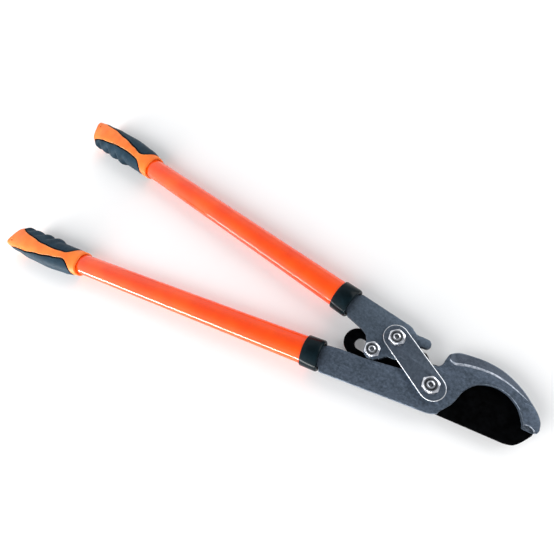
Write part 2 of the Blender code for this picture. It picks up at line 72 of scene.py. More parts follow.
MAIN_PIVOT = centre("main_bush").xy
LINK_PIVOT = centre("link_bush").xy
DRIVE_PIN = centre("drive_sleeve").xy
JAW_LOW, JAW_HIGH = levels("hook_jaw")
BLADE_LOW, BLADE_HIGH = levels("blade")
LINK_LOW, LINK_HIGH = levels("link_plate")

SHANK_RADIUS = 4.0
BORE_RADIUS = 6.3
HEX_FLATS = 13.0
HEX_CORNER = HEX_FLATS / math.sqrt(3)
HEX_TURN = math.radians(10)
HEX_EDGE = 0.45
HEX_OVERLAP = 2.0
SLOT_HALF = 5.45
SLOT_START = 53.6
SLOT_END = 68.5
HUB_RADIUS = 21.4
HUB_TOP_RADIUS = 17.4
LEVER_HUB_RADIUS = 17.5
LOBE_RADIUS = 8.2
BLADE_HUB_RADIUS = 19.4
BLADE_SPINE_RADIUS = 18.9
BLADE_LOBE_RADIUS = 13.0
BLADE_LOBE = Vector((-71.0, 5.2))
LINK_HALF_WIDTH = 11.0
LINK_OVERHANG = 1.6
STOP_NOTCH = Vector((-5.2, 23.6))
STOP_NOTCH_RADIUS = 6.5
STOP_FINGER = Vector((-17.3, 30.7))
STOP_FINGER_RADIUS = 4.1

TUBE_HALF_WIDTH = 13.7
TUBE_HALF_HEIGHT = 10.5
TUBE_WALL = 1.6
TUBE_START = 97.5
TUBE_END = 520.0
FERRULE_START = 95.2
FERRULE_RIM = 112.6
FERRULE_EXTRA = 1.6
PLUG_END = 140.0
TANG_HALF_WIDTH = 10.0
BAR_END = 94.6
BAR_SHOULDER = 92.2
TANG_END = 175.0
PIN_STATION = 127.0
PIN_RADIUS = 2.5
PIN_REACH = 6.5
CLEARANCE = 0.3

GRIP_START = 446.0
GRIP_END = 599.0
GRIP_SLANT = 0.6
LEAN_START = 570.0
SOCKET_END = 524.0
SOCKET_FIT = 0.4

CURVE_STEPS = 10
ROUND_STEPS = 96
PIN_CUTTER_STEPS = 32
RIVET_STEPS = 48
FEWEST_ARC_STEPS = 4
WIDE_ARC = 10.0
WIDE_ARC_FACTOR = 1.5
SHARPEST_MITRE = 0.35
LEVEL = 0.9999
# Empty material slots on a new mesh, so that a cutter's face indices come through a Boolean
SPARE_SLOTS = 4


class Handle:
    """A handle's own frame, found from its tube and its pin."""

    def __init__(self, prefix, turn):
        middle = centre(prefix + "_tube")
        near = centre(prefix + "_tang_pin")
        self.prefix = prefix
        self.body = prefix + "_handle"
        self.height = middle.z
        self.along = (middle.xy - near.xy).normalized()
        self.foot = middle.xy - self.along * (TUBE_START + TUBE_END) / 2
        self.inward = turn * Vector((self.along.y, -self.along.x))

    def flat(self, station, side):
        return self.foot + self.along * station + self.inward * side

    def matrix(self):
        """From the handle's frame in millimetres to the row frame in metres."""
        a, i, f = self.along, self.inward, self.foot
        rows = [(a.x, i.x, 0, f.x), (a.y, i.y, 0, f.y), (0, 0, 1, self.height), (0, 0, 0, 1 / MM)]
        return Matrix([[value * MM for value in row] for row in rows])


lower = Handle("lower", 1)
upper = Handle("upper", -1)


# Materials
SPAN_SOCKETS = ("From Min", "From Max", "To Min", "To Max")


class Nodes:
    """A material's node tree, with the few nodes that the looks below are made of."""

    def __init__(self, name, roughness=0.5, metallic=0.0, **sockets):
        self.material = bpy.data.materials.new(name)
        self.material.use_nodes = True
        self.tree = self.material.node_tree
        self.shader = self.tree.nodes["Principled BSDF"]
        self.shader.inputs["Roughness"].default_value = roughness
        self.shader.inputs["Metallic"].default_value = metallic
        for key, value in sockets.items():
            self.shader.inputs[key.replace("_", " ")].default_value = value
        self.coords = self.tree.nodes.new("ShaderNodeTexCoord").outputs["Object"]

    def node(self, kind, **inputs):
        made = self.tree.nodes.new(kind)
        for key, value in inputs.items():
            socket = made.inputs[int(key[1:])] if key[0] == "_" else made.inputs[key]
            if isinstance(value, bpy.types.NodeSocket):
                self.tree.links.new(value, socket)
            else:
                socket.default_value = value
        return made

    def stretched(self, scale, turn=0.0):
        made = self.node("ShaderNodeMapping", Vector=self.coords)
        made.inputs["Scale"].default_value = scale
        made.inputs["Rotation"].default_value = (0, 0, turn)
        return made.outputs["Vector"]

    def noise(self, size, detail=3.0, roughness=0.55, coords=None):
        """Noise whose lumps are about that many millimetres across."""
        made = self.node("ShaderNodeTexNoise", Vector=coords or self.coords, Scale=1 / (size * MM),
                         Detail=detail, Roughness=roughness)
        return made.outputs["Fac"]

    def cells(self, size, coords=None):
        made = self.node("ShaderNodeTexVoronoi", Vector=coords or self.coords, Scale=1 / (size * MM))
        return made.outputs["Distance"]

    def ramp(self, value, low, high, to_low=0.0, to_high=1.0):
        made = self.node("ShaderNodeMapRange", Value=value)
        for key, number in zip(SPAN_SOCKETS, (low, high, to_low, to_high)):
            made.inputs[key].default_value = number
        return made.outputs["Result"]

    def mix(self, factor, first, second, blend="MIX"):
        made = self.tree.nodes.new("ShaderNodeMix")
        made.data_type = "RGBA"
        made.blend_type = blend
        for socket, value in ((made.inputs[0], factor), (made.inputs[6], first), (made.inputs[7], second)):
            if isinstance(value, bpy.types.NodeSocket):
                self.tree.links.new(value, socket)
            elif isinstance(value, tuple):
                socket.default_value = (*value, 1.0)
            else:
                socket.default_value = value
        return made.outputs[2]

    def math(self, operation, first, second):
        made = self.node("ShaderNodeMath", _0=first, _1=second)
        made.operation = operation
        return made.outputs[0]

    def bump(self, height, strength, depth, below=None):
        """A bump that many millimetres deep."""
        made = self.node("ShaderNodeBump", Height=height, Strength=strength, Distance=depth * MM)
        if below is not None:
            self.tree.links.new(below, made.inputs["Normal"])
        return made.outputs["Normal"]

    def finish(self, colour=None, roughness=None, normal=None, coat_normal=None):
        for key, value in (("Base Color", colour), ("Roughness", roughness), ("Normal", normal),
                           ("Coat Normal", coat_normal)):
            if value is not None:
                self.tree.links.new(value, self.shader.inputs[key])
        return self.material


# Painted shade: the forged pieces get darker from the pivot towards the handles
SHADE_START = 10.0
SHADE_END = -60.0
SHADE = 0.12


def scaled(colour, factor):
    return tuple(factor * value for value in colour)


def forged_steel(name, dark, light, tint, worn=0.0):
    """Blued forged steel: soft mottling, fine scale, a few rubbed places, and painted shade towards the
    handles.
    """
    look = Nodes(name, metallic=0.9)
    broad = look.noise(14, 2.0)
    patches = look.noise(2.2, 5.0, 0.65)
    fine = look.noise(0.6, 3.0, 0.7)
    colour = look.mix(look.ramp(patches, 0.34, 0.68), dark, light)
    colour = look.mix(look.ramp(broad, 0.4, 0.7, 0.0, 0.3), colour, tint)
    along = look.node("ShaderNodeSeparateXYZ", Vector=look.coords).outputs["X"]
    # Painted shade: the steel darkens from the pivot towards the handles
    shade = look.ramp(along, SHADE_START * MM, SHADE_END * MM, 0.0, SHADE)
    colour = look.mix(shade, colour, scaled(dark, 0.35))
    colour = look.mix(look.ramp(fine, 0.3, 0.72, 0.0, 0.4), colour, scaled(dark, 0.55))
    streaks = look.noise(2.2, 3.0, 0.6, look.stretched((0.22, 1.0, 1.0), math.radians(28)))
    colour = look.mix(look.ramp(streaks, 0.6, 0.78, 0.0, 0.3 + worn), colour, scaled(light, 1.5))
    roughness = look.ramp(look.math("ADD", patches, fine), 0.75, 1.3, 0.38, 0.6)
    normal = look.bump(patches, 0.35, 0.12)
    normal = look.bump(fine, 0.4, 0.05, normal)
    return look.finish(colour, roughness, normal)


def painted_edge_highlight(name, dark, light):
    """Steel for the line along a rounded edge or crease; with bright colours it is a painted highlight."""
    look = Nodes(name, metallic=1.0)
    patches = look.noise(2.0, 3.0)
    fine = look.noise(0.5, 2.0)
    colour = look.mix(look.ramp(patches, 0.35, 0.62), dark, light)
    return look.finish(colour, look.ramp(fine, 0.3, 0.7, 0.34, 0.48), look.bump(fine, 0.2, 0.03))


def black_coating():
    """The blade's matt black coating, faintly clouded."""
    look = Nodes("blade_black", Specular_IOR_Level=0.01)
    patches = look.noise(5, 3.0)
    fine = look.noise(0.35, 2.0)
    colour = look.mix(look.ramp(patches, 0.35, 0.7), (0.0006, 0.0006, 0.0007), (0.0020, 0.0022, 0.0026))
    roughness = look.ramp(look.math("ADD", patches, fine), 0.7, 1.3, 0.36, 0.55)
    return look.finish(colour, roughness, look.bump(fine, 0.3, 0.03))


def ground_steel():
    """The ground bevel of the blade, with its grinding lines across the edge."""
    look = Nodes("blade_ground", metallic=1.0)
    lines = look.noise(0.5, 3.0, 0.6, look.stretched((1.0, 0.08, 1.0), math.radians(-12)))
    broad = look.noise(9, 2.0)
    colour = look.mix(look.ramp(lines, 0.3, 0.7), (0.42, 0.44, 0.47), (0.68, 0.70, 0.73))
    colour = look.mix(look.ramp(broad, 0.5, 0.8, 0.0, 0.4), colour, (0.35, 0.34, 0.33))
    return look.finish(colour, look.ramp(lines, 0.3, 0.7, 0.22, 0.42), look.bump(lines, 0.25, 0.02))


def zinc(name, dark, light, low, high):
    """Zinc plating with fine spots, whose roughness runs from low to high."""
    look = Nodes(name, metallic=1.0)
    broad = look.noise(3.2, 2.0)
    fine = look.noise(0.4, 3.0, 0.6)
    colour = look.mix(look.ramp(broad, 0.35, 0.68), dark, light)
    colour = look.mix(look.ramp(fine, 0.55, 0.85, 0.0, 0.35), colour, scaled(dark, 0.5))
    return look.finish(colour, look.ramp(fine, 0.3, 0.7, low, high), look.bump(fine, 0.2, 0.03))


def nylon():
    """The grey ring inside a lock nut."""
    look = Nodes("nut_nylon", 0.45)
    fine = look.noise(0.5, 2.0)
    colour = look.mix(look.ramp(fine, 0.3, 0.7), (0.08, 0.088, 0.10), (0.14, 0.15, 0.17))
    return look.finish(colour, look.ramp(fine, 0.3, 0.7, 0.35, 0.55), look.bump(fine, 0.2, 0.03))


def bronze():
    """Sintered bearing bronze with darker, oily patches."""
    look = Nodes("bush_bronze_sintered", metallic=0.9)
    fine = look.noise(0.35, 3.0, 0.7)
    broad = look.noise(3, 2.0)
    colour = look.mix(look.ramp(fine, 0.35, 0.65), (0.24, 0.15, 0.07), (0.46, 0.31, 0.15))
    colour = look.mix(look.ramp(broad, 0.45, 0.75, 0.0, 0.5), colour, (0.10, 0.09, 0.07))
    return look.finish(colour, look.ramp(fine, 0.3, 0.7, 0.35, 0.6), look.bump(fine, 0.4, 0.05))


def orange_paint():
    """Glossy powder paint over the tube: slight orange peel, faint cloudiness, a few fine rub marks."""
    look = Nodes("tube_orange_paint", Coat_Weight=1.0, Coat_Roughness=0.04, Coat_IOR=1.62,
                 Specular_IOR_Level=0.0)
    cloud = look.noise(30, 2.0)
    peel = look.noise(1.1, 2.0, 0.45)
    rubs = look.noise(1.6, 4.0, 0.7, look.stretched((0.12, 1.0, 1.0)))
    colour = look.mix(look.ramp(cloud, 0.35, 0.68), (0.90, 0.054, 0.0001), (0.96, 0.080, 0.0002))
    colour = look.mix(look.ramp(rubs, 0.66, 0.85, 0.0, 0.2), colour, (1.0, 0.16, 0.04))
    normal = look.bump(peel, 0.25, 0.03)
    roughness = look.ramp(rubs, 0.4, 0.8, 0.28, 0.45)
    return look.finish(colour, roughness, normal, look.bump(peel, 0.05, 0.015))


def collar_plastic():
    """Glossy blue-black moulding with a few scuffs round it."""
    look = Nodes("collar_black_plastic", Specular_IOR_Level=0.12)
    broad = look.noise(6, 2.0)
    fine = look.noise(0.4, 2.0)
    colour = look.mix(look.ramp(broad, 0.35, 0.7), (0.002, 0.006, 0.008), (0.004, 0.011, 0.015))
    scuffs = look.noise(0.9, 4.0, 0.7, look.stretched((1.0, 0.2, 1.0), math.radians(8)))
    colour = look.mix(look.ramp(scuffs, 0.62, 0.82, 0.0, 0.3), colour, (0.02, 0.03, 0.04))
    return look.finish(colour, look.ramp(fine, 0.3, 0.7, 0.14, 0.22), look.bump(fine, 0.2, 0.03))


def grip_plastic(name, dark, light):
    """Satin moulded plastic with a fine spark-eroded grain."""
    look = Nodes(name, Specular_IOR_Level=0.3)
    cloud = look.noise(18, 2.0)
    grain = look.cells(0.55)
    colour = look.mix(look.ramp(cloud, 0.35, 0.68), dark, light)
    scuffs = look.ramp(look.noise(1.2, 4.0, 0.7), 0.6, 0.8, 0.0, 0.25)
    colour = look.mix(scuffs, colour, scaled(dark, 0.85))
    return look.finish(colour, look.ramp(grain, 0.1, 0.6, 0.34, 0.5), look.bump(grain, 0.25, 0.05))


def grip_rubber(name, dark, light, bloom):
    """Soft slate rubber with a fine stipple and a dusty bloom on its high places."""
    look = Nodes(name, Specular_IOR_Level=0.1)
    stipple = look.cells(0.8)
    cloud = look.noise(12, 3.0)
    dust = look.noise(2.0, 4.0, 0.7)
    colour = look.mix(look.ramp(cloud, 0.35, 0.7), dark, light)
    colour = look.mix(look.ramp(dust, 0.58, 0.85, 0.0, bloom), colour, (0.07, 0.10, 0.12))
    return look.finish(colour, look.ramp(stipple, 0.1, 0.7, 0.42, 0.62), look.bump(stipple, 0.35, 0.09))


def floor_paint():
    """The studio's plain pale floor."""
    look = Nodes("studio_floor", 0.9, Specular_IOR_Level=0.1)
    cloud = look.noise(160, 3.0)
    colour = look.mix(look.ramp(cloud, 0.3, 0.7), (0.93, 0.935, 0.935), (0.95, 0.95, 0.95))
    return look.finish(colour, None, look.bump(look.noise(3, 2.0), 0.05, 0.05))


steel = forged_steel("steel_blued", (0.112, 0.147, 0.188), (0.200, 0.258, 0.338), (0.14, 0.185, 0.24))
hook_steel = forged_steel("steel_hook", (0.093, 0.123, 0.160), (0.205, 0.262, 0.35),
                          (0.20, 0.253, 0.345), worn=0.1)
# A darker copy of the forged steel: painted shade on the hook's band that falls away from the crease
band_painted_shade = forged_steel("steel_band_painted_shade", (0.050, 0.062, 0.080), (0.095, 0.115, 0.150), (0.10, 0.12, 0.155))
link_steel = forged_steel("steel_link", (0.100, 0.129, 0.168), (0.168, 0.208, 0.268), (0.165, 0.189, 0.238))
# A bright steel on the link's rounded edges: painted highlight all round its outline
link_edge_highlight = painted_edge_highlight("steel_edge_painted_highlight", (0.70, 0.74, 0.80), (0.97, 0.98, 1.0))
# A lighter steel along the hook's crease and the tip shelf's sloped wall: painted highlight
crease_highlight_steel = painted_edge_highlight("steel_crease_painted_highlight", (0.16, 0.19, 0.23), (0.42, 0.45, 0.51))
soft_edge = painted_edge_highlight("steel_soft_edge", (0.07, 0.09, 0.115), (0.20, 0.24, 0.29))
blade_black = black_coating()
blade_ground = ground_steel()
zinc_bright = zinc("zinc_bright", (0.66, 0.69, 0.75), (0.90, 0.92, 0.97), 0.10, 0.2)
# A darker copy of the zinc: painted shade in the bolt ends' recess and on their chamfer
zinc_painted_shade = zinc("zinc_recess_painted_shade", (0.14, 0.15, 0.16), (0.30, 0.32, 0.34), 0.3, 0.5)
nut_nylon = nylon()
bush_bronze = bronze()
tube_paint = orange_paint()
collar = collar_plastic()
core_plastic = grip_plastic("grip_orange_plastic", (0.90, 0.17, 0.018), (0.98, 0.235, 0.032))
# A lighter copy of the grip's orange on its rounded edges: painted highlight
core_edge_highlight = grip_plastic("grip_orange_edge_highlight", (0.95, 0.36, 0.12), (1.0, 0.50, 0.22))
pad_rubber = grip_rubber("grip_slate_rubber", (0.009, 0.026, 0.042), (0.017, 0.043, 0.067), 0.3)
# A near-black rubber on the pocket walls round the inlays: painted shade in the grooves
groove_painted_shade = grip_rubber("grip_groove_painted_shade", (0.004, 0.005, 0.006), (0.009, 0.010, 0.012), 0.1)


# Outlines in the plane
def arc(centre_point, radius, start, end):
    """Points along an arc from one angle to another, in degrees."""
    finer = WIDE_ARC_FACTOR if radius > WIDE_ARC else 1.0
    count = max(FEWEST_ARC_STEPS, round(abs(end - start) / 360 * ROUND_STEPS * finer))
    turns = [math.radians(start + (end - start) * i / count) for i in range(count + 1)]
    return [centre_point + radius * Vector((math.cos(t), math.sin(t))) for t in turns]


def circle(centre_point, radius):
    return arc(centre_point, radius, 0, 360)[:-1]


def smooth(points, steps=CURVE_STEPS):
    """A Catmull-Rom curve through the points."""
    points = [Vector(p) for p in points]
    padded = [2 * points[0] - points[1], *points, 2 * points[-1] - points[-2]]
    made = []
    for a, b, c, d in zip(padded, padded[1:], padded[2:], padded[3:]):
        for i in range(steps):
            t = i / steps
            made.append(0.5 * (2 * b + (c - a) * t + (2 * a - 5 * b + 4 * c - d) * t**2
                               + (3 * b - a - 3 * c + d) * t**3))
    return made + [points[-1]]


def angle_of(vector):
    return math.degrees(math.atan2(vector.y, vector.x))


# Meshes
def new_object(name, mesh):
    obj = bpy.data.objects.new(name, mesh)
    bpy.context.scene.collection.objects.link(obj)
    return obj


def from_bmesh(name, shape, scale=1.0):
    mesh = bpy.data.meshes.new(name)
    bmesh.ops.scale(shape, verts=shape.verts, vec=(scale, scale, scale))
    bmesh.ops.recalc_face_normals(shape, faces=shape.faces)
    shape.to_mesh(mesh)
    shape.free()
    for _ in range(SPARE_SLOTS):
        mesh.materials.append(None)
    return new_object(name, mesh)


def cut(obj, *others, operation="DIFFERENCE"):
    """The object after a Boolean with each of the others, which are then removed."""
    for other in others:
        modifier = obj.modifiers.new(other.name, "BOOLEAN")
        modifier.object = other
        modifier.operation = operation
        modifier.solver = "EXACT"
    bpy.context.view_layer.update()
    graph = bpy.context.evaluated_depsgraph_get()
    mesh = bpy.data.meshes.new_from_object(obj.evaluated_get(graph), depsgraph=graph)
    mesh.transform(obj.matrix_world)
    made = bpy.data.objects.new(obj.name, mesh)
    bpy.context.scene.collection.objects.link(made)
    name = obj.name
    for old in (obj, *others):
        bpy.data.objects.remove(old, do_unlink=True)
    made.name = name
    return made


def marked(obj, index):
    """The object with all its faces in that material slot, which the faces it cuts take over."""
    for face in obj.data.polygons:
        face.material_index = index
    return obj


def area_of(loop):
    return sum(a.cross(b) for a, b in zip(loop, loop[1:] + loop[:1])) / 2


def inset_points(loop, distance):
    """The loop moved into the material by that distance. The material lies to its left."""
    made = []
    for i, point in enumerate(loop):
        before = (point - loop[i - 1]).normalized()
        after = (loop[(i + 1) % len(loop)] - point).normalized()
        left = Vector((-before.y - after.y, before.x + after.x))
        left /= max(SHARPEST_MITRE, left.length / 2) * left.length
        made.append(point + left * distance)
    return made


def rounded_rings(loop, low, tops, width, segments):
    """Rings of a plate's wall with rounded edges, from the top face round to the bottom face."""
    rings = []
    for k in range(segments + 1):
        turn = math.pi / 2 * (1 - k / segments)
        spots = inset_points(loop, width * (1 - math.cos(turn)))
        rings.append([(p.x, p.y, top - width * (1 - math.sin(turn))) for p, top in zip(spots, tops)])
    for k in range(segments + 1):
        turn = math.pi / 2 * k / segments
        spots = inset_points(loop, width * (1 - math.cos(turn)))
        rings.append([(p.x, p.y, low + width * (1 - math.sin(turn))) for p in spots])
    return rings


def cap(shape, loops):
    """Fills a flat face bounded by an outer loop and holes, given as lists of vertices."""
    flat = [vert for loop in loops for vert in loop]
    for corner in tessellate_polygon([[Vector((v.co.x, v.co.y, 0.0)) for v in loop] for loop in loops]):
        shape.faces.new([flat[i] for i in corner])


def plate(name, outline, holes, low, high, width=0.55, segments=3, relief=None):
    """A plate in metres with rounded edges, whose rounded faces take the second material.

    relief gives (first, last, crease): between those corners of the outline the top falls away from the
    crease. The band that falls takes the fourth material, and the crease's own rim the third.
    """
    loops = [outline if area_of(outline) > 0 else outline[::-1]]
    loops += [hole if area_of(hole) < 0 else hole[::-1] for hole in holes]
    shape = bmesh.new()
    tops = [[high] * len(loop) for loop in loops]
    if relief:
        first, last, crease = relief
        for i in range(first, last + 1):
            tops[0][i] -= RELIEF_SLOPE * (loops[0][i] - crease[i - first]).length
    faces_top, faces_low = [], []
    for loop, top in zip(loops, tops):
        rings = [[shape.verts.new(point) for point in ring]
                 for ring in rounded_rings(loop, low, top, width, segments)]
        faces_top.append(rings[0])
        faces_low.append(rings[-1])
        for k, (near, far) in enumerate(zip(rings, rings[1:])):
            for i in range(len(loop)):
                j = (i + 1) % len(loop)
                face = shape.faces.new((near[i], near[j], far[j], far[i]))
                face.material_index = int(k != segments)
    if relief:
        edge = faces_top[0][first:last + 1]
        rows = [edge]
        for part in RELIEF_ROWS:
            row = [edge[0]]
            for vert, point in list(zip(edge, crease))[1:-1]:
                rest = Vector((point.x, point.y, high))
                row.append(shape.verts.new(vert.co.lerp(rest, part)))
            rows.append(row + [edge[-1]])
        rim = [edge[0]]
        for k in range(1, len(crease) - 1):
            ahead = (crease[k + 1] - crease[k - 1]).normalized()
            spot = crease[k] + Vector((ahead.y, -ahead.x)) * CREASE_WIDTH
            rim.append(shape.verts.new((spot.x, spot.y, high)))
        rows.append(rim + [edge[-1]])
        for k, (near, far) in enumerate(zip(rows, rows[1:])):
            for i in range(len(near) - 1):
                corner = list(dict.fromkeys((near[i], near[i + 1], far[i + 1], far[i])))
                if len(corner) > 2:
                    face = shape.faces.new(corner)
                    face.material_index = 2 if k >= len(RELIEF_ROWS) - 1 else 3
        faces_top[0] = faces_top[0][:first] + rows[-1] + faces_top[0][last + 1:]
    cap(shape, faces_top)
    cap(shape, faces_low)
    return from_bmesh(name, shape, MM)


def turned(name, profile, place, steps=ROUND_STEPS, marks=()):
    """A solid of revolution about a vertical axis, in metres.

    marks gives the spans of the profile that take another material, as (span, index).
    """
    shape = bmesh.new()
    rings = []
    for radius, height in profile:
        if radius == 0:
            rings.append([shape.verts.new((place.x, place.y, height))])
        else:
            rings.append([shape.verts.new((place.x + radius * math.cos(2 * math.pi * i / steps),
                                           place.y + radius * math.sin(2 * math.pi * i / steps), height))
                          for i in range(steps)])
    closed = profile[0][0] != 0
    pairs = list(zip(rings, rings[1:])) + ([(rings[-1], rings[0])] if closed else [])
    for span, (first, second) in enumerate(pairs):
        for i in range(steps):
            j = (i + 1) % steps
            corner = [first[i % len(first)], first[j % len(first)],
                      second[j % len(second)], second[i % len(second)]]
            face = shape.faces.new(list(dict.fromkeys(corner)))
            face.material_index = dict(marks).get(span, 0)
    return from_bmesh(name, shape, MM)


def hexagon(name, low, high, place):
    """A hexagonal bar with rounded corners, in metres."""
    shape = bmesh.new()
    bmesh.ops.create_cone(shape, cap_ends=True, segments=6, radius1=HEX_CORNER, radius2=HEX_CORNER,
                          depth=high - low)
    uprights = [edge for edge in shape.edges if abs(edge.verts[0].co.z - edge.verts[1].co.z) > 1]
    bmesh.ops.bevel(shape, geom=uprights, offset=HEX_EDGE, segments=3, profile=0.5, affect="EDGES")
    bmesh.ops.rotate(shape, verts=shape.verts, matrix=Matrix.Rotation(HEX_TURN, 3, "Z"))
    bmesh.ops.translate(shape, verts=shape.verts, vec=(place.x, place.y, (low + high) / 2))
    return from_bmesh(name, shape, MM)


def loft(name, rings, strip_ends=False, loop=False):
    """A solid through rings of equally many points.

    A strip end is filled across, and a loop joins the last ring to the first.
    """
    shape = bmesh.new()
    made = [[shape.verts.new(point) for point in ring] for ring in rings]
    count = len(made[0])
    for near, far in list(zip(made, made[1:])) + ([(made[-1], made[0])] if loop else []):
        for i in range(count):
            j = (i + 1) % count
            shape.faces.new((near[i], near[j], far[j], far[i]))
    for end in () if loop else (made[0], made[-1]):
        if strip_ends:
            for i in range(count // 2 - 1):
                shape.faces.new((end[i], end[i + 1], end[count - 2 - i], end[count - 1 - i]))
        else:
            shape.faces.new(end)
    return from_bmesh(name, shape)


def edges(obj, width, segments, angle, material=None):
    """Rounds the edges sharper than that angle in degrees."""
    modifier = obj.modifiers.new("edges", "BEVEL")
    modifier.width = width * MM
    modifier.segments = segments
    modifier.limit_method = "ANGLE"
    modifier.angle_limit = math.radians(angle)
    modifier.use_clamp_overlap = False
    modifier.harden_normals = True
    if material is not None:
        modifier.material = material


def dressed(obj, looks, body, nodes, sharp=30):
    """Gives a piece its materials and shading, hangs it on its body and hides the nodes it stands for. Level
    faces stay flat.
    """
    kept = [face.material_index for face in obj.data.polygons]
    obj.data.materials.clear()
    for look in looks:
        obj.data.materials.append(look)
    for face, index in zip(obj.data.polygons, kept):
        face.material_index = index
    obj.data.shade_smooth()
    for face in obj.data.polygons:
        if abs(face.normal.z) > LEVEL:
            face.use_smooth = False
    obj.data.set_sharp_from_angle(angle=math.radians(sharp))
    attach(obj, body)
    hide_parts(*nodes)
    return obj


# Plates of the head
CREASE = [(2.3, 30.9), (4.5, 26.6), (9.5, 24.9), (18.4, 28.0), (33.0, 30.9), (45.9, 30.1), (59.4, 26.3),
          (68.6, 22.7)]
HOOK_OUTER = [(1.7, 28.0), (3.0, 32.6), (7.4, 36.6), (14.0, 38.8), (29.2, 40.4), (43.5, 38.6), (57.2, 32.4),
              (68.6, 23.4), (75.0, 16.2), (77.0, 9.5), (76.3, 6.0)]
HOOK_INNER = [(66.4, 8.4), (60.4, 16.9), (51.8, 22.5), (42.0, 24.0), (33.0, 21.2), (27.0, 16.2), (22.6, 8.0),
              (19.6, -3.8), (13.6, -14.6)]
# The band that falls away runs between these points of the hook's smoothed outer edge
RELIEF_FIRST = 6
RELIEF_LAST = 7 * CURVE_STEPS
RELIEF_SLOPE = 0.36
RELIEF_ROWS = (0.25, 0.5, 0.75, 0.92)
CREASE_WIDTH = 0.4
TIP_SHELF = Vector((70.4, 3.9))
TIP_SHELF_RADIUS = 4.2
TIP_SHELF_DEPTH = 2.4


def resampled(points, count):
    """The polyline as that many points, evenly spaced along it."""
    lengths = [0.0]
    for a, b in zip(points, points[1:]):
        lengths.append(lengths[-1] + (b - a).length)
    made = []
    k = 0
    for i in range(count):
        want = lengths[-1] * i / (count - 1)
        while k < len(points) - 2 and lengths[k + 1] < want:
            k += 1
        part = (want - lengths[k]) / (lengths[k + 1] - lengths[k])
        made.append(points[k].lerp(points[k + 1], part))
    return made


def hook_jaw():
    tang = [lower.flat(TANG_END, -TANG_HALF_WIDTH), lower.flat(TANG_END, TANG_HALF_WIDTH),
            lower.flat(BAR_END, TANG_HALF_WIDTH)]
    bar_top = [lower.flat(BAR_SHOULDER, 11.6), Vector((-77.7, -8.4)), Vector((-58.7, -6.0)),
               Vector((-30.0, 0.6))]
    hub_top = arc(MAIN_PIVOT, HUB_TOP_RADIUS, 168, 104)
    notch = arc(STOP_NOTCH, STOP_NOTCH_RADIUS, -92, 8)
    ledge = [Vector((73.3, 5.0)), Vector((67.6, 4.8))]
    hub_bottom = arc(MAIN_PIVOT, HUB_RADIUS, -52, -80)
    bar_bottom = [lower.flat(BAR_SHOULDER, -14.4), lower.flat(BAR_END, -TANG_HALF_WIDTH)]
    outer = smooth(HOOK_OUTER)
    inner = smooth(HOOK_INNER)
    outline = (tang + bar_top + hub_top + notch + outer + ledge + inner + hub_bottom + bar_bottom)[::-1]
    first, last = outline.index(outer[RELIEF_LAST]), outline.index(outer[RELIEF_FIRST])
    crease = resampled(smooth(CREASE)[::-1], last - first + 1)
    obj = plate("hook_forging", outline, [circle(MAIN_PIVOT, BORE_RADIUS)], JAW_LOW, JAW_HIGH,
                relief=(first, last, crease))
    radius, shelf = TIP_SHELF_RADIUS, JAW_HIGH - TIP_SHELF_DEPTH
    profile = [(0.0, JAW_HIGH + 1), (radius + 1.7, JAW_HIGH + 1), (radius + 0.9, JAW_HIGH),
               (radius + 0.2, shelf + 1.2), (radius, shelf), (0.0, shelf)]
    # The shelf's sloped wall takes the crease's painted highlight, its lower wall and floor the edge steel
    shelf_cutter = turned("tip_shelf_cutter", profile, TIP_SHELF, marks=((2, 2), (3, 1), (4, 1)))
    obj = cut(obj, shelf_cutter, pin_cutter(lower))
    # Second material: the edge steel; third: the crease's painted highlight; fourth: the painted shade of the
    # band that falls away
    looks = [hook_steel, soft_edge, crease_highlight_steel, band_painted_shade]
    return dressed(obj, looks, "lower_handle", ["hook_jaw"])


def lever_plate():
    tang = [upper.flat(TANG_END, TANG_HALF_WIDTH), upper.flat(TANG_END, -TANG_HALF_WIDTH),
            upper.flat(BAR_END, -TANG_HALF_WIDTH)]
    top = [upper.flat(BAR_SHOULDER, -12.4), Vector((-36.5, 39.4))]
    top += smooth([(-33.0, 38.2), (-28.4, 35.2), (-25.4, 34.4), (-22.3, 34.8)])
    finger = arc(STOP_FINGER, STOP_FINGER_RADIUS, 85, -100)
    underside = smooth([(-19.4, 26.2), (-21.6, 24.6), (-22.3, 22.4)])
    hub = arc(LINK_PIVOT, LEVER_HUB_RADIUS, -8, -92)
    waist = smooth([(-42.6, 3.6), (-44.4, 1.4), (-46.2, -0.4)])
    lobe = arc(DRIVE_PIN, LOBE_RADIUS, -30, -180)
    left = smooth([(-62.8, 7.6), (-65.2, 12.4), (-69.8, 15.8), (-76.0, 18.0)])
    shoulder = [upper.flat(BAR_SHOULDER, 13.2), upper.flat(BAR_END, TANG_HALF_WIDTH)]
    outline = tang + top + finger + underside + hub + waist + lobe + left + shoulder
    holes = [circle(LINK_PIVOT, BORE_RADIUS), circle(DRIVE_PIN, SHANK_RADIUS + CLEARANCE)]
    obj = plate("lever_forging", outline, holes, JAW_LOW, JAW_HIGH)
    sink_top, sink_rim, rim_level = SHANK_RADIUS + 0.4, SHANK_RADIUS + 3.9, JAW_LOW + 0.9
    sink = [(0.0, JAW_LOW + 4.6), (sink_top, JAW_LOW + 4.6), (sink_rim, rim_level), (sink_rim, JAW_LOW - 1.0),
            (0.0, JAW_LOW - 1.0)]
    obj = cut(obj, turned("lever_countersink_cutter", sink, LINK_PIVOT), pin_cutter(upper))
    return dressed(obj, [steel, soft_edge], "upper_handle", ["lever_plate"])


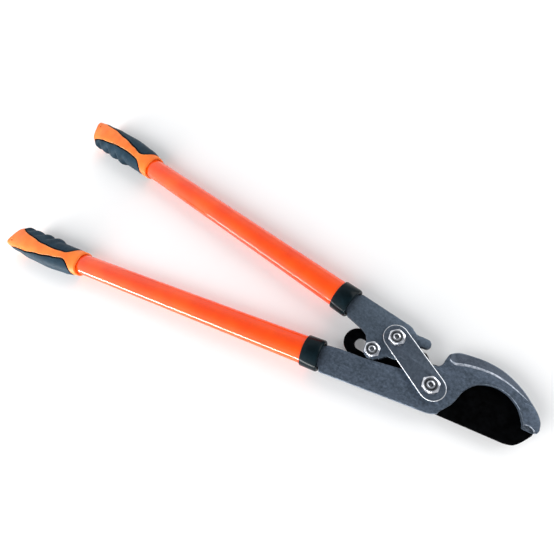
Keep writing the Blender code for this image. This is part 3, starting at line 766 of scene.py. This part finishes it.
def link_plate():
    direction = angle_of(MAIN_PIVOT - LINK_PIVOT)
    step = LINK_OVERHANG * (MAIN_PIVOT - LINK_PIVOT).normalized()
    outline = arc(MAIN_PIVOT + step, LINK_HALF_WIDTH, direction - 90, direction + 90)
    outline += arc(LINK_PIVOT - step, LINK_HALF_WIDTH, direction + 90, direction + 270)
    holes = [circle(MAIN_PIVOT, BORE_RADIUS), circle(LINK_PIVOT, BORE_RADIUS)]
    obj = plate("link_strap", outline, holes, LINK_LOW, LINK_HIGH, width=0.6)
    # The rounded edges take the painted highlight
    return dressed(obj, [link_steel, link_edge_highlight], "link", ["link_plate"])


BLADE_EDGE = [(13.5, 19.6), (21.0, 24.4), (32.0, 28.6), (44.0, 29.6), (56.0, 25.6), (66.0, 18.2),
              (73.0, 10.8), (75.8, 6.2)]
GRIND_STEPS = 6
GRIND_WIDTH = 9.0
GRIND_OVERLAP = 3.0
# The bevel starts narrow and widens by one part in GRIND_RISE at each point
GRIND_START = 0.25
GRIND_RISE = 12
EDGE_LEFT = 0.5


def grind_cutter():
    """The ground bevel under the blade's cutting edge, as a solid to take away."""
    line = smooth(BLADE_EDGE, GRIND_STEPS)
    rings = []
    for i, point in enumerate(line):
        ahead = (line[min(i + 1, len(line) - 1)] - line[max(i - 1, 0)]).normalized()
        inward = Vector((ahead.y, -ahead.x))
        width = GRIND_WIDTH * min(1.0, GRIND_START + i / GRIND_RISE)
        near = point + inward * width
        far = point - inward * GRIND_OVERLAP
        top = BLADE_HIGH - EDGE_LEFT
        slope = (top - BLADE_LOW) / width
        rings.append([(near.x, near.y, BLADE_LOW), (far.x, far.y, top + GRIND_OVERLAP * slope),
                      (far.x, far.y, BLADE_LOW - 2), (near.x, near.y, BLADE_LOW - 2)])
    return loft("blade_grind_cutter", [[tuple(v * MM for v in p) for p in ring] for ring in rings])


def blade():
    tail_angle = angle_of(DRIVE_PIN)
    tail = DRIVE_PIN.normalized()
    lobe = arc(BLADE_LOBE, BLADE_LOBE_RADIUS, 265, 95)
    shoulder = [Vector((-17.4, 24.2)), Vector((-14.4, 24.6)), Vector((-12.2, 23.0))]
    hub = arc(MAIN_PIVOT, BLADE_HUB_RADIUS, 112, 62)
    nose = smooth([(75.4, 3.6), (71.2, -4.2), (67.2, -9.2), (61.8, -11.3)])
    spine = arc(MAIN_PIVOT, BLADE_SPINE_RADIUS, -83, -97)
    outline = lobe + shoulder + hub + smooth(BLADE_EDGE) + nose + spine
    slot = arc(tail * SLOT_START, SLOT_HALF, tail_angle - 90, tail_angle - 270)
    slot += arc(tail * SLOT_END, SLOT_HALF, tail_angle + 90, tail_angle - 90)
    holes = [circle(MAIN_PIVOT, BORE_RADIUS), slot]
    obj = plate("blade_plate", outline, holes, BLADE_LOW, BLADE_HIGH, width=0.3, segments=2)
    obj = cut(obj, marked(grind_cutter(), 2))
    return dressed(obj, [blade_black, blade_black, blade_ground], "blade", ["blade"])


# Fasteners
BOLT_END_MARKS = ((0, 1), (1, 1), (5, 1), (6, 1))
HEAD_HEIGHT = 5.2


def hardware(obj, looks, body, nodes):
    return dressed(obj, looks, body, nodes, sharp=28)


def bolt_end(top):
    """The profile of a bolt's end from its axis outwards: a centre recess in a flat end with a chamfer.

    BOLT_END_MARKS gives its recess and its chamfer the second material, a darker zinc that is painted shade.
    """
    return [(0.0, top - 1.6), (1.0, top - 1.4), (1.6, top - 0.5), (1.9, top - 0.08), (2.2, top),
            (SHANK_RADIUS - 1.1, top - 0.25), (SHANK_RADIUS - 0.1, top - 0.9), (SHANK_RADIUS, top - 1.3)]


def bolt(name, body, place, node):
    """A bolt whose hexagon head is underneath."""
    low, high = levels(node)
    shoulder = low + HEAD_HEIGHT
    profile = bolt_end(high) + [
        (SHANK_RADIUS, shoulder), (HEX_CORNER + 0.3, shoulder), (HEX_CORNER + 0.3, low + 0.9),
        (HEX_CORNER - 1.0, low), (0.0, low),
    ]
    obj = turned(name, profile, place, marks=BOLT_END_MARKS)
    bar = hexagon(name + "_hexagon", low - HEX_OVERLAP, high + HEX_OVERLAP, place)
    obj = cut(obj, bar, operation="INTERSECT")
    return hardware(obj, [zinc_bright, zinc_painted_shade], body, [node])


def lock_nut(name, body, place, node):
    """A hexagon lock nut: chamfered hexagon, rolled collar and the nylon ring inside it."""
    low, high = levels(node)
    hole = SHANK_RADIUS + 0.3
    profile = [
        (hole, high - 1.5), (hole + 0.05, high - 1.3), (hole + 0.4, high - 1.2), (hole + 0.5, high - 0.4),
        (hole + 0.7, high - 0.08), (hole + 1.15, high), (hole + 1.5, high - 0.2), (hole + 1.65, high - 0.7),
        (hole + 1.8, high - 1.7), (HEX_CORNER - 1.2, high - 1.85), (HEX_CORNER - 0.5, high - 2.15),
        (HEX_CORNER + 0.3, high - 2.8),
        (HEX_CORNER + 0.3, low + 0.5), (HEX_CORNER - 0.4, low), (hole, low),
    ]
    obj = turned(name, profile, place, marks=((0, 1), (1, 1), (2, 1)))
    bar = hexagon(name + "_hexagon", low - HEX_OVERLAP, high + HEX_OVERLAP, place)
    obj = cut(obj, bar, operation="INTERSECT")
    return hardware(obj, [zinc_bright, nut_nylon], body, [node])


def washer(name, body, place, node):
    least, most = corners(node)
    low, high = least.z, most.z
    inner, outer = SHANK_RADIUS + CLEARANCE, (most.x - least.x) / 2
    profile = [(inner, high), (outer - 0.4, high), (outer - 0.1, high - 0.15), (outer, high - 0.4),
               (outer, low + 0.4), (outer - 0.1, low + 0.15), (outer - 0.4, low), (inner, low)]
    return hardware(turned(name, profile, place), [zinc_bright], body, [node])


def countersunk_bolt(name, body, place, node):
    low, high = levels(node)
    head = SHANK_RADIUS + 3.2
    profile = bolt_end(high) + [(SHANK_RADIUS, low + 3.4), (head, low + 0.4), (head, low), (0.0, low)]
    obj = turned(name, profile, place, marks=BOLT_END_MARKS)
    return hardware(obj, [zinc_bright, zinc_painted_shade], body, [node])


# Handles
TUBE_STEPS = 24
PLUG_SLOT_MIDDLE = 118.0
PLUG_SLOT_LENGTH = 80.0


def tube_oval(station, grow=0.0):
    """The tube's outline at that station, grown all round."""
    width, height = TUBE_HALF_WIDTH + grow, TUBE_HALF_HEIGHT + grow
    turns = [2 * math.pi * i / ROUND_STEPS for i in range(ROUND_STEPS)]
    return [(station, width * math.cos(t), height * math.sin(t)) for t in turns]


def laid(obj, handle, name):
    """A copy of a piece built in the handle's frame, laid on that handle."""
    mesh = obj.data.copy()
    matrix = handle.matrix()
    mesh.transform(matrix)
    if matrix.determinant() < 0:
        mesh.flip_normals()
    return new_object(name, mesh)


def pin_profile(low, high):
    """The tang pin, with its two ends chamfered."""
    inner = PIN_RADIUS - 0.5
    return [(0.0, high), (inner, high), (PIN_RADIUS, high - 0.5), (PIN_RADIUS, low + 0.5), (inner, low),
            (0.0, low)]


def pin_cutter(handle):
    """The blind hole for the tang pin, from below the tube up into the tang."""
    radius = PIN_RADIUS + CLEARANCE
    low, high = handle.height - TUBE_HALF_HEIGHT - 5, handle.height + PIN_REACH + CLEARANCE
    profile = [(0.0, high), (radius, high), (radius, low), (0.0, low)]
    return turned(handle.prefix + "_pin_cutter", profile, handle.flat(PIN_STATION, 0), PIN_CUTTER_STEPS)


def tube_shape():
    rings = [tube_oval(TUBE_START, -0.3), tube_oval(TUBE_START + 0.3)]
    for i in range(1, TUBE_STEPS):
        rings.append(tube_oval(TUBE_START + (TUBE_END - TUBE_START) * i / TUBE_STEPS))
    rings += [tube_oval(TUBE_END), tube_oval(TUBE_END, -TUBE_WALL), tube_oval(TUBE_START, -TUBE_WALL)]
    return loft("tube_shape", rings, loop=True)


def ferrule_shape():
    """The collar over the tube's end, with a recessed face round the bar and a plug inside the tube."""
    plug = TUBE_WALL + CLEARANCE
    start, rim, extra = FERRULE_START, FERRULE_RIM, FERRULE_EXTRA
    sections = [
        (PLUG_END, -plug - 0.6), (PLUG_END - 2, -plug), (TUBE_START - CLEARANCE, -plug),
        (TUBE_START - CLEARANCE, CLEARANCE), (rim, CLEARANCE), (rim, extra - 0.5), (rim - 0.15, extra - 0.2),
        (rim - 0.5, extra), (start + 1.6, extra), (start + 0.8, extra - 0.2), (start + 0.25, extra - 0.7),
        (start, extra - 1.4), (start, extra - 2.2), (start + 0.3, extra - 2.6), (start + 1.9, extra - 3.0),
    ]
    obj = loft("ferrule_shape", [tube_oval(station, grow) for station, grow in sections])
    shape = bmesh.new()
    bmesh.ops.create_cube(shape, size=1.0)
    size = (PLUG_SLOT_LENGTH, 2 * (TANG_HALF_WIDTH + CLEARANCE), JAW_HIGH - JAW_LOW + 2 * CLEARANCE)
    bmesh.ops.scale(shape, verts=shape.verts, vec=size)
    bmesh.ops.translate(shape, verts=shape.verts, vec=(PLUG_SLOT_MIDDLE, 0, 0))
    return cut(obj, from_bmesh("ferrule_slot", shape))


def blended(value, stations):
    """Smooth interpolation of (station, value) pairs."""
    if value <= stations[0][0]:
        return stations[0][1]
    for (a, low), (b, high) in zip(stations, stations[1:]):
        if value <= b:
            t = (value - a) / (b - a)
            return low + (high - low) * t * t * (3 - 2 * t)
    return stations[-1][1]


# Half sizes of the grip by station: towards the fingers, towards the palm, and up
FINGER_SIDE = [(446, 16.2), (470, 17.0), (500, 17.6), (560, 18.4), (599, 19.2)]
PALM_SIDE = [(446, 16.8), (470, 20.4), (506, 22.0), (548, 20.6), (582, 17.2), (599, 13.9)]
HALF_HEIGHT = [(446, 13.0), (470, 14.2), (510, 15.8), (560, 15.6), (599, 12.8)]
FINGER_PITCH = 25.0
FINGER_FIRST = 512.0
FINGER_LIFT = 0.1
BUMPS_START = 494.0
BUMPS_RISE = 12.0
BUMPS_END = 594.0
BUMPS_FALL = 8.0
SIDE_BUMP = 2.2
BROAD_BUMP = 1.4
SECTION_POWER = [(540, 2.3), (599, 3.2)]
# How far each inlay reaches round the grip, as (station, degrees from its middle)
PAD_EDGES = {
    "finger": [(460, 60), (474, 74), (495, 78), (523, 74), (556, 60), (590, 40)],
    "palm": [(450, 60), (473, 78), (491, 71), (522, 60), (553, 48), (592, 36)],
}
# The rounded front of each inlay: the station of its edges, and how far its middle reaches past that
PAD_FRONTS = {"finger": (467, 9), "palm": (465, 11)}
PAD_BACK = 587.0
PAD_RADIUS = 16.0
PAD_SHRINK = -0.7
PAD_DEPTH = [(465, 1.4), (500, 4.0)]
PAD_STEPS = (96, 28)
POCKET_GROW = 1.1
POCKET_LIFT = 4.0
POCKET_BELOW = 0.5
POCKET_STEPS = (60, 20)
CORE_STEPS = 84
HANG_HOLE = Vector((593.0, -5.5))
HANG_HOLE_RADIUS = 1.7
HANG_HOLE_STEPS = 32


def grip_point(station, angle, inset=0.0, bumpy=True):
    """A point of the grip's surface in the handle's frame. Angle 0 is the finger side, 90 the top."""
    c, s = math.cos(math.radians(angle)), math.sin(math.radians(angle))
    power = 2 / blended(station, SECTION_POWER)
    rise, fall = (station - BUMPS_START) / BUMPS_RISE, (BUMPS_END - station) / BUMPS_FALL
    wave = max(0.0, min(1.0, rise)) * max(0.0, min(1.0, fall))
    swell = 2 * abs(math.cos(math.pi * (station - FINGER_FIRST) / FINGER_PITCH)) - 1
    c_side = max(0.0, c)
    bumps = bumpy * wave * (swell + FINGER_LIFT) * (SIDE_BUMP * c_side**5 + BROAD_BUMP * c_side**1.5)
    reach = blended(station, FINGER_SIDE) + bumps if c > 0 else blended(station, PALM_SIDE)
    side = math.copysign(abs(c) ** power, c) * (reach - inset)
    height = math.copysign(abs(s) ** power, s) * (blended(station, HALF_HEIGHT) - inset)
    lean = max(0.0, (station - LEAN_START) / (GRIP_END - LEAN_START)) ** 2
    return (station - GRIP_SLANT * lean * side, side, height)


def pad_shape(name, side, grow, inset, below, steps):
    """A rubber inlay of the grip, between two offsets of the grip's surface."""
    front, reach = PAD_FRONTS[side]
    lengthwise, across = steps
    layers = []
    for under in (False, True):
        grid = []
        for i in range(lengthwise + 1):
            row = []
            for j in range(across + 1):
                v = 2 * j / across - 1
                start = front - reach * math.sqrt(max(0.0, 1 - v * v)) - grow
                station = start + (PAD_BACK + grow - start) * i / lengthwise
                edge = blended(station, PAD_EDGES[side]) + math.degrees(grow / PAD_RADIUS)
                angle = v * edge if side == "finger" else 180 - v * edge
                depth = blended(station, PAD_DEPTH) + below if under else inset
                row.append(grip_point(station, angle, depth, not under))
            grid.append(row)
        layers.append(grid)
    outer, under = layers
    return loft(name, [outer[i] + under[i][::-1] for i in range(lengthwise + 1)], strip_ends=True)


def core_shape():
    """The hard plastic of a grip with its socket and the pockets of its two inlays."""
    turns = [360 * i / ROUND_STEPS for i in range(ROUND_STEPS)]
    socket = [tube_oval(SOCKET_END, SOCKET_FIT), tube_oval(GRIP_START - 0.6, SOCKET_FIT)]
    rings = socket + [[grip_point(GRIP_START + s, a, i) for a in turns]
                      for s, i in ((-1.0, 1.9), (-1.0, 1.0), (-0.6, 0.4), (0.1, 0.1), (1.0, 0.0))]
    first, last = GRIP_START + 2, GRIP_END - 2
    stations = [first + (last - first) * k / CORE_STEPS for k in range(CORE_STEPS + 1)]
    rings += [[grip_point(station, a) for a in turns] for station in stations]
    rings += [[grip_point(GRIP_END + s, a, i) for a in turns]
              for s, i in ((-1.1, 0.1), (-0.5, 0.4), (-0.15, 0.9), (0.0, 1.5), (0.0, 9.0))]
    obj = loft("core_shape", rings)
    pockets = []
    for side in PAD_EDGES:
        pocket = pad_shape(f"core_{side}_pocket", side, POCKET_GROW, -POCKET_LIFT, POCKET_BELOW, POCKET_STEPS)
        # The pocket walls take the third material, the painted shade of the grooves
        pockets.append(marked(pocket, 2))
    top = blended(HANG_HOLE.x, HALF_HEIGHT)
    bore = [(0.0, top + 3), (HANG_HOLE_RADIUS, top + 3), (HANG_HOLE_RADIUS, top - 5), (0.0, top - 5)]
    hole = turned("core_hang_hole", bore, HANG_HOLE, HANG_HOLE_STEPS)
    hole.data.transform(Matrix.Scale(1 / MM, 4))
    return cut(obj, *pockets, hole)


def build_handles():
    tube, ferrule, core = tube_shape(), ferrule_shape(), core_shape()
    pads = {side: pad_shape(side + "_pad_shape", side, PAD_SHRINK, 0.0, 0.0, PAD_STEPS) for side in PAD_EDGES}
    for handle in (lower, upper):
        prefix, body = handle.prefix, handle.body
        made = cut(laid(tube, handle, prefix + "_tube_painted"), pin_cutter(handle))
        dressed(made, [tube_paint], body, [prefix + "_tube"], 40)
        made = cut(laid(ferrule, handle, prefix + "_ferrule_collar"), pin_cutter(handle))
        dressed(made, [collar], body, [prefix + "_ferrule"], 40)
        made = laid(core, handle, prefix + "_grip_plastic")
        # The rounded edges take the second material, a painted highlight
        edges(made, 0.5, 2, 40, material=1)
        looks = [core_plastic, core_edge_highlight, groove_painted_shade]
        dressed(made, looks, body, [prefix + "_grip_core"], 40)
        for side, pad in pads.items():
            made = laid(pad, handle, f"{prefix}_grip_{side}_rubber")
            edges(made, 0.5, 3, 45)
            dressed(made, [pad_rubber], body, [f"{prefix}_{side}_pad"], 45)
        profile = pin_profile(levels(prefix + "_tang_pin")[0], handle.height + PIN_REACH)
        pin = turned(prefix + "_tang_rivet", profile, handle.flat(PIN_STATION, 0), RIVET_STEPS)
        hardware(pin, [zinc_bright], body, [prefix + "_tang_pin"])
    for helper in (tube, ferrule, core, *pads.values()):
        bpy.data.objects.remove(helper, do_unlink=True)


def build_head():
    hook_jaw()
    lever_plate()
    link_plate()
    blade()
    bolt("main_hex_bolt", "lower_handle", MAIN_PIVOT, "main_bolt")
    lock_nut("main_lock_nut", "lower_handle", MAIN_PIVOT, "main_nut")
    washer("main_flat_washer", "lower_handle", MAIN_PIVOT, "main_washer")
    countersunk_bolt("link_pivot_bolt", "link", LINK_PIVOT, "link_bolt")
    lock_nut("link_lock_nut", "link", LINK_PIVOT, "link_nut")
    bolt("drive_hex_bolt", "upper_handle", DRIVE_PIN, "drive_bolt")
    lock_nut("drive_lock_nut", "upper_handle", DRIVE_PIN, "drive_nut")
    washer("drive_flat_washer", "upper_handle", DRIVE_PIN, "drive_washer")
    for node in ("main_bush", "link_bush", "drive_sleeve"):
        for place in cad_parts[node].material_slots:
            place.material = bush_bronze


# Studio
CAMERA_PLACE = Vector((0.005358, -0.042019, 0.359))
CAMERA_RIGHT = Vector((0.79461, 0.51519, -0.32120))
CAMERA_UP = Vector((-0.39272, 0.83964, 0.37520))
CAMERA_BACK = Vector((0.46300, -0.17200, 0.86951))
LENS = 24.04
SENSOR_WIDTH = 36.0
FLOOR_RADIUS_M = 6.0
FLOOR_GAP = 0.1
# The surround's colour by height, from straight below to straight above
SURROUND = ((0.0, (1.15, 1.15, 1.15)), (0.50, (1.10, 1.10, 1.11)), (0.80, (0.48, 0.49, 0.51)),
            (1.0, (0.22, 0.225, 0.235)))
# Its strength runs from the first value at X + Y = -1.4 to the second at 1.4
SURROUND_SPAN = 1.4
SURROUND_STRENGTHS = (1.02, 0.45)


def build_camera():
    data = bpy.data.cameras.new("photo_camera")
    data.lens = LENS
    data.sensor_width = SENSOR_WIDTH
    data.clip_start = 0.01
    data.clip_end = 50.0
    obj = bpy.data.objects.new("photo_camera", data)
    rows = [(CAMERA_RIGHT[i], CAMERA_UP[i], CAMERA_BACK[i], CAMERA_PLACE[i]) for i in range(3)]
    obj.matrix_world = Matrix([*rows, (0, 0, 0, 1)])
    bpy.context.scene.collection.objects.link(obj)
    bpy.context.scene.camera = obj


def build_floor():
    shape = bmesh.new()
    bmesh.ops.create_circle(shape, cap_ends=True, segments=128, radius=FLOOR_RADIUS_M)
    low = min(corners(node)[0].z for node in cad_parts)
    bmesh.ops.translate(shape, verts=shape.verts, vec=(0, 0, (low - FLOOR_GAP) * MM))
    floor = from_bmesh("studio_floor", shape)
    floor.data.materials.clear()
    floor.data.materials.append(floor_paint())


def build_world():
    """Even studio light: dimmer straight above, where the camera hangs, and brighter towards the walls."""
    world = bpy.data.worlds.new("studio")
    bpy.context.scene.world = world
    world.use_nodes = True
    tree = world.node_tree
    background = tree.nodes["Background"]
    coords = tree.nodes.new("ShaderNodeTexCoord")
    split = tree.nodes.new("ShaderNodeSeparateXYZ")
    ramp = tree.nodes.new("ShaderNodeValToRGB")
    for position, _ in SURROUND[1:-1]:
        ramp.color_ramp.elements.new(position)
    for stop, (_, colour) in zip(ramp.color_ramp.elements, SURROUND):
        stop.color = (*colour, 1)
    towards = tree.nodes.new("ShaderNodeMath")
    towards.operation = "ADD"
    side = tree.nodes.new("ShaderNodeMapRange")
    spans = (-SURROUND_SPAN, SURROUND_SPAN, *SURROUND_STRENGTHS)
    for key, value in zip(SPAN_SOCKETS, spans):
        side.inputs[key].default_value = value
    link = tree.links.new
    link(coords.outputs["Generated"], split.inputs[0])
    link(split.outputs["Z"], ramp.inputs["Fac"])
    link(split.outputs["X"], towards.inputs[0])
    link(split.outputs["Y"], towards.inputs[1])
    link(towards.outputs[0], side.inputs["Value"])
    link(side.outputs["Result"], background.inputs["Strength"])
    link(ramp.outputs["Color"], background.inputs["Color"])


def light(name, kind, energy, towards, **settings):
    data = bpy.data.lights.new(name, kind)
    data.energy = energy
    for key, value in settings.items():
        setattr(data, key, value)
    obj = bpy.data.objects.new(name, data)
    obj.rotation_euler = Vector(towards).to_track_quat("-Z", "Y").to_euler()
    bpy.context.scene.collection.objects.link(obj)
    return obj


def build_lights():
    """Two wide soft boxes from opposite sides, and a strip for the long highlight on the tubes."""
    key = light("key_soft_box", "SUN", 1.8, (0.50, 0.85, -0.74), angle=math.radians(50))
    key.visible_glossy = False
    light("fill_soft_box", "SUN", 1.4, (-0.40, -0.90, -0.68), angle=math.radians(55))
    place, target = Vector((-0.45, -1.6, 0.12)), Vector((-0.25, 0.0, 0.0))
    strip = light("strip_box", "AREA", 60, target - place, shape="RECTANGLE", size=3.4, size_y=0.2)
    strip.location = place


build_head()
build_handles()
build_camera()
build_floor()
build_world()
build_lights()
bpy.context.scene.view_settings.view_transform = "Standard"
